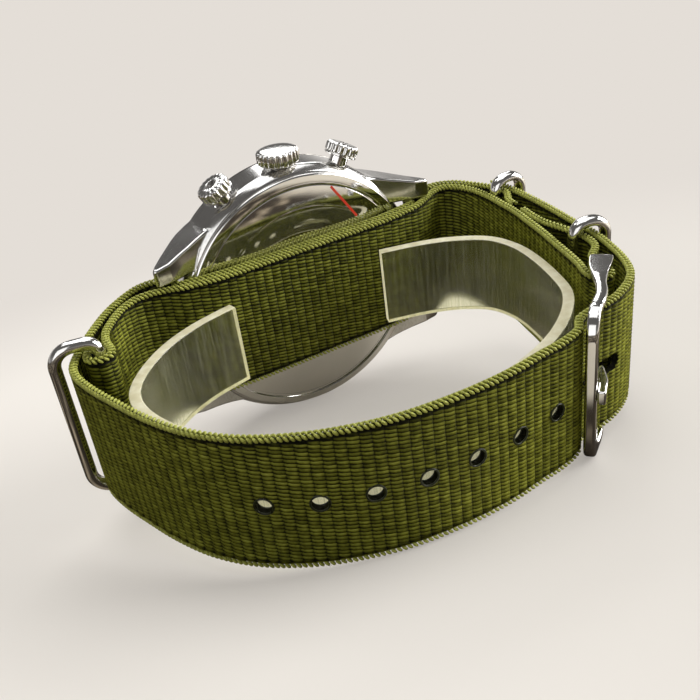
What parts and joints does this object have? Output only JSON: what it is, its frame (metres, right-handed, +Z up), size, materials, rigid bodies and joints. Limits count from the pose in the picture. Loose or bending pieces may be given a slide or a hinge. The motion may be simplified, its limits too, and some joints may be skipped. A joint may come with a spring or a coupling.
{
  "type": "wrist watch",
  "caption": "Two-register pilot chronograph on a ribbed nylon pass-through strap, buckled closed around a clear insert and lying on its side, crown up.",
  "frame": {"origin": "centre of the bounding box on the plane that the watch lies on", "axes": "+X towards the 12 o'clock side and the buckle, +Y from the wrist loop towards the dial, +Z up, which is the crown's side; the watch leans 12 degrees, as it comes to rest on a flat surface"},
  "size_m": [0.0824, 0.0649, 0.045],
  "materials": {
    "polished_steel": "polished",
    "brushed_case_steel": "fine brushed flanks",
    "sapphire": "clear polished",
    "seal": "matt",
    "dial_black": "matt lacquer",
    "luminous": "matt luminous paint",
    "hand_red": "gloss paint",
    "gilt_brass": "gilt",
    "plate_nickel": "rhodium plated, striped",
    "blued_steel": "heat blued",
    "movement_steel": "satin",
    "strap_nylon": "ribbed woven nylon",
    "clear_plastic": "clear moulded"
  },
  "bodies": {
    "case": {"mid_case": "brushed_case_steel", "bezel": "polished_steel", "crystal": "sapphire", "crystal_gasket": "seal", "dial_ring": "dial_black", "case_back": "polished_steel", "back_gasket": "seal", "crown_tube": "polished_steel", "pusher_tubes": "polished_steel", "movement_ring": "plate_nickel", "ring_clamps": "movement_steel", "spring_bars": "polished_steel", "dial": "dial_black", "hour_markers": "luminous", "subdial_rims": "movement_steel", "mainplate": "plate_nickel", "train_bridge": "plate_nickel", "barrel_bridge": "plate_nickel", "balance_cock": "plate_nickel", "bridge_screws": "blued_steel", "under_strap": "strap_nylon", "long_strap": "strap_nylon", "upper_keeper": "polished_steel", "lower_keeper": "polished_steel"},
    "seconds_train": {"fourth_wheel": "gilt_brass", "small_seconds_hand": "luminous"},
    "minutes_train": {"centre_wheel": "gilt_brass", "minute_hand": "luminous"},
    "hours": {"hour_hand": "luminous"},
    "third": {"third_wheel": "gilt_brass"},
    "escape": {"escape_wheel": "movement_steel"},
    "pallets": {"pallet_fork": "movement_steel"},
    "balance": {"balance_wheel": "gilt_brass", "hairspring": "blued_steel"},
    "power": {"barrel": "gilt_brass", "mainspring": "blued_steel"},
    "pinion": {"winding_pinion": "movement_steel"},
    "crown_and_stem": {"crown": "polished_steel", "winding_stem": "movement_steel"},
    "crown_wheel": {"crown_wheel": "movement_steel"},
    "ratchet": {"ratchet_wheel": "movement_steel"},
    "start_pusher": {"start_pusher": "polished_steel"},
    "start_lever": {"operating_lever": "movement_steel"},
    "column": {"column_wheel": "movement_steel"},
    "reset_pusher": {"reset_pusher": "polished_steel"},
    "reset_lever": {"reset_hammer": "movement_steel"},
    "chronograph": {"chrono_wheel": "gilt_brass", "chrono_hand": "hand_red"},
    "minute_counter": {"minute_counter_wheel": "gilt_brass", "minute_counter_hand": "luminous"},
    "ring": {"strap_ring": "polished_steel"},
    "buckle": {"buckle_frame": "polished_steel", "buckle_pin": "polished_steel"},
    "tang": {"buckle_tang": "polished_steel"},
    "insert": {"display_insert": "clear_plastic"}
  },
  "joints": [
    {"name": "seconds_turn", "type": "hinge", "parent": "case", "child": "seconds_train", "pos_m": [0.00226, 0.02518, 0.01328], "axis": [-0.0071, 0.9788, 0.2048], "continuous": true},
    {"name": "minutes_turn", "type": "hinge", "parent": "case", "child": "minutes_train", "pos_m": [0.00198, 0.0235, 0.0213], "axis": [-0.0071, 0.9788, 0.2048], "continuous": true},
    {"name": "hours_turn", "type": "hinge", "parent": "case", "child": "hours", "pos_m": [0.00197, 0.02497, 0.02161], "axis": [-0.0071, 0.9788, 0.2048], "continuous": true},
    {"name": "third_turn", "type": "hinge", "parent": "case", "child": "third", "pos_m": [-0.00244, 0.02323, 0.01608], "axis": [-0.0071, 0.9788, 0.2048], "continuous": true},
    {"name": "escape_turn", "type": "hinge", "parent": "case", "child": "escape", "pos_m": [0.00735, 0.0244, 0.01084], "axis": [-0.0071, 0.9788, 0.2048], "continuous": true},
    {"name": "pallets_rock", "type": "hinge", "parent": "case", "child": "pallets", "pos_m": [0.01022, 0.02424, 0.01173], "axis": [-0.0071, 0.9788, 0.2048], "range_deg": [-5, 5]},
    {"name": "balance_swing", "type": "hinge", "parent": "case", "child": "balance", "pos_m": [0.01075, 0.02325, 0.01645], "axis": [-0.0071, 0.9788, 0.2048], "range_deg": [-270, 270]},
    {"name": "barrel_turn", "type": "hinge", "parent": "case", "child": "power", "pos_m": [-0.00626, 0.02163, 0.02216], "axis": [-0.0071, 0.9788, 0.2048], "continuous": true},
    {"name": "crown_turn", "type": "hinge", "parent": "case", "child": "pinion", "pos_m": [0.00156, 0.01966, 0.03326], "axis": [-0.0341, -0.205, 0.9782], "continuous": true},
    {"name": "crown_pull", "type": "slide", "parent": "pinion", "child": "crown_and_stem", "axis": [-0.0341, -0.205, 0.9782], "range_m": [0, 0.001]},
    {"name": "crown_wheel_turn", "type": "hinge", "parent": "case", "child": "crown_wheel", "pos_m": [-0.0014, 0.01936, 0.03218], "axis": [-0.0071, 0.9788, 0.2048], "continuous": true},
    {"name": "ratchet_turn", "type": "hinge", "parent": "case", "child": "ratchet", "pos_m": [-0.00624, 0.01977, 0.02177], "axis": [-0.0071, 0.9788, 0.2048], "continuous": true},
    {"name": "start_push", "type": "slide", "parent": "case", "child": "start_pusher", "axis": [-0.4391, 0.181, -0.88], "range_m": [0, 0.001], "stiffness_N_per_m": 1500, "springref_m": -0.0005},
    {"name": "start_lever_swing", "type": "hinge", "parent": "case", "child": "start_lever", "pos_m": [0.0127, 0.01831, 0.02938], "axis": [-0.0071, 0.9788, 0.2048], "range_deg": [-12.53, 0]},
    {"name": "column_turn", "type": "hinge", "parent": "case", "child": "column", "pos_m": [0.00795, 0.01856, 0.02804], "axis": [-0.0071, 0.9788, 0.2048], "continuous": true},
    {"name": "reset_push", "type": "slide", "parent": "case", "child": "reset_pusher", "axis": [0.4993, 0.181, -0.8473], "range_m": [0, 0.001], "stiffness_N_per_m": 1500, "springref_m": -0.0005},
    {"name": "reset_lever_swing", "type": "hinge", "parent": "case", "child": "reset_lever", "pos_m": [-0.00928, 0.01831, 0.02862], "axis": [-0.0071, 0.9788, 0.2048], "range_deg": [0, 12.53]},
    {"name": "chronograph_turn", "type": "hinge", "parent": "case", "child": "chronograph", "pos_m": [0.002, 0.02007, 0.02059], "axis": [-0.0071, 0.9788, 0.2048], "continuous": true},
    {"name": "minute_counter_turn", "type": "hinge", "parent": "case", "child": "minute_counter", "pos_m": [0.00172, 0.01839, 0.02861], "axis": [-0.0071, 0.9788, 0.2048], "continuous": true},
    {"name": "ring_swing", "type": "hinge", "parent": "case", "child": "ring", "pos_m": [-0.03418, 0.00735, 0.01666], "axis": [-0.0341, -0.205, 0.9782], "range_deg": [-6, 6]},
    {"name": "buckle_lift", "type": "hinge", "parent": "case", "child": "buckle", "pos_m": [0.02847, -0.01878, 0.01337], "axis": [-0.0341, -0.205, 0.9782], "range_deg": [0, 5]},
    {"name": "tang_lift", "type": "hinge", "parent": "buckle", "child": "tang", "pos_m": [0.02847, -0.01878, 0.01337], "axis": [-0.0341, -0.205, 0.9782], "range_deg": [0, 5]},
    {"name": "insert_out", "type": "slide", "parent": "case", "child": "insert", "axis": [-0.0341, -0.205, 0.9782], "range_m": [0, 0.03]}
  ],
  "couplings": [
    {"joint": "minutes_turn", "follows": "seconds_turn", "ratio": 0.016667},
    {"joint": "hours_turn", "follows": "seconds_turn", "ratio": 0.0013889},
    {"joint": "third_turn", "follows": "seconds_turn", "ratio": -0.13333},
    {"joint": "escape_turn", "follows": "seconds_turn", "ratio": -10},
    {"joint": "barrel_turn", "follows": "seconds_turn", "ratio": -0.0023148},
    {"joint": "crown_wheel_turn", "follows": "crown_turn", "ratio": 0.63},
    {"joint": "ratchet_turn", "follows": "crown_turn", "ratio": -0.33},
    {"joint": "start_lever_swing", "follows": "start_push", "rad_per_m": -210},
    {"joint": "reset_lever_swing", "follows": "reset_push", "rad_per_m": 210},
    {"joint": "minute_counter_turn", "follows": "chronograph_turn", "ratio": 0.033333}
  ]
}
